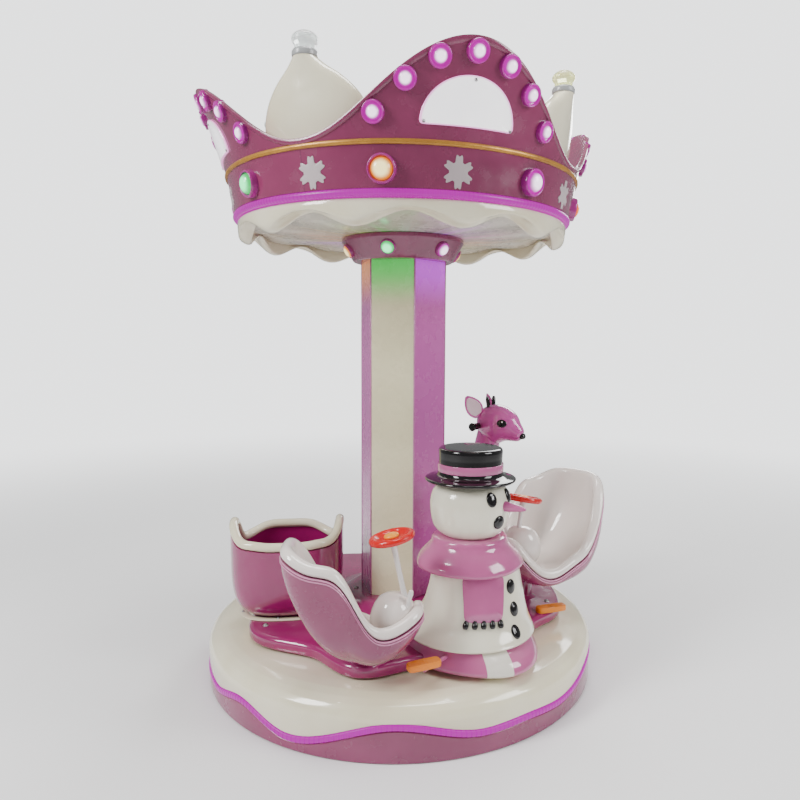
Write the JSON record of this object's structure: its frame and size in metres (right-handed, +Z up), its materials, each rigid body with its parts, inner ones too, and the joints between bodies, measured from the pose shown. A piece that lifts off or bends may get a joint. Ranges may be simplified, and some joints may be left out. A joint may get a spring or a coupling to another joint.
{
  "type": "kiddie carousel",
  "caption": "Snow-themed kiddie carousel: round base, turntable with slipper seats, tub and figures, hexagonal column and a lit arched crown.",
  "frame": {"origin": "on the floor at the centre of the round base, on the turntable's axis", "axes": "+Z up along the turntable's axis; -Y is the way the column's front face looks"},
  "size_m": [1.3372, 1.3485, 1.9066],
  "materials": {
    "rose": "dusty pink gloss gelcoat on glass fibre",
    "magenta": "deep magenta gloss gelcoat on glass fibre",
    "snow_white": "warm white gloss gelcoat on glass fibre",
    "panel_white": "semi-gloss panels, white and pink in turn",
    "strip_light": "lit magenta light strip in a clear tube",
    "gold": "satin gold paint",
    "steel": "turned steel",
    "bulb": "clear globe in a grey collar",
    "lamp_panel": "opal white light panel",
    "red": "red moulded plastic",
    "black": "black gloss gelcoat",
    "orange": "orange moulded plastic",
    "pink": "light pink gloss gelcoat"
  },
  "bodies": {
    "base": {"base_skirt": "rose", "base_light_strip": "strip_light", "snow_base": "snow_white", "turntable_bearing": "steel"},
    "turntable": {"star_plate": "magenta", "column": "panel_white", "capital": "rose", "crown_underside": "snow_white", "snow_skirt": "snow_white", "crown_light_ring": "strip_light", "gold_stripe": "gold", "crown_deck": "rose", "seat_shell_front": "rose", "seat_liner_front": "snow_white", "seat_shell_right": "rose", "seat_liner_right": "snow_white", "tub_shell": "magenta", "tub_rim": "snow_white", "snowman_foot": "pink", "snowman_body": "snow_white", "snowman_scarf": "pink", "snowman_head": "snow_white", "snowman_nose": "pink", "snowman_hat": "black", "hat_band": "pink", "deer_body": "magenta", "deer_head": "pink", "deer_handle": "black", "footrest_front": "orange", "footrest_right": "orange", "crown_panel_1": "rose", "snow_peak_1": "snow_white", "peak_bulb_1": "bulb", "half_moon_1": "lamp_panel", "crown_panel_2": "rose", "snow_peak_2": "snow_white", "peak_bulb_2": "bulb", "half_moon_2": "lamp_panel", "crown_panel_3": "rose", "snow_peak_3": "snow_white", "peak_bulb_3": "bulb", "half_moon_3": "lamp_panel", "crown_panel_4": "rose", "snow_peak_4": "snow_white", "peak_bulb_4": "bulb", "half_moon_4": "lamp_panel"},
    "front_wheel": {"steering_wheel_front": "red"},
    "right_wheel": {"steering_wheel_right": "red"}
  },
  "joints": [
    {"name": "turntable_spin", "type": "hinge", "parent": "base", "child": "turntable", "pos_m": [0, 0, 0.176], "axis": [0, 0, 1], "continuous": true},
    {"name": "front_wheel_spin", "type": "hinge", "parent": "turntable", "child": "front_wheel", "pos_m": [0.11749, -0.53634, 0.58], "axis": [-0.2008, -0.0538, 0.9781], "continuous": true},
    {"name": "right_wheel_spin", "type": "hinge", "parent": "turntable", "child": "right_wheel", "pos_m": [0.4227, -0.0297, 0.587], "axis": [0.1102, 0.1763, 0.9781], "continuous": true}
  ]
}
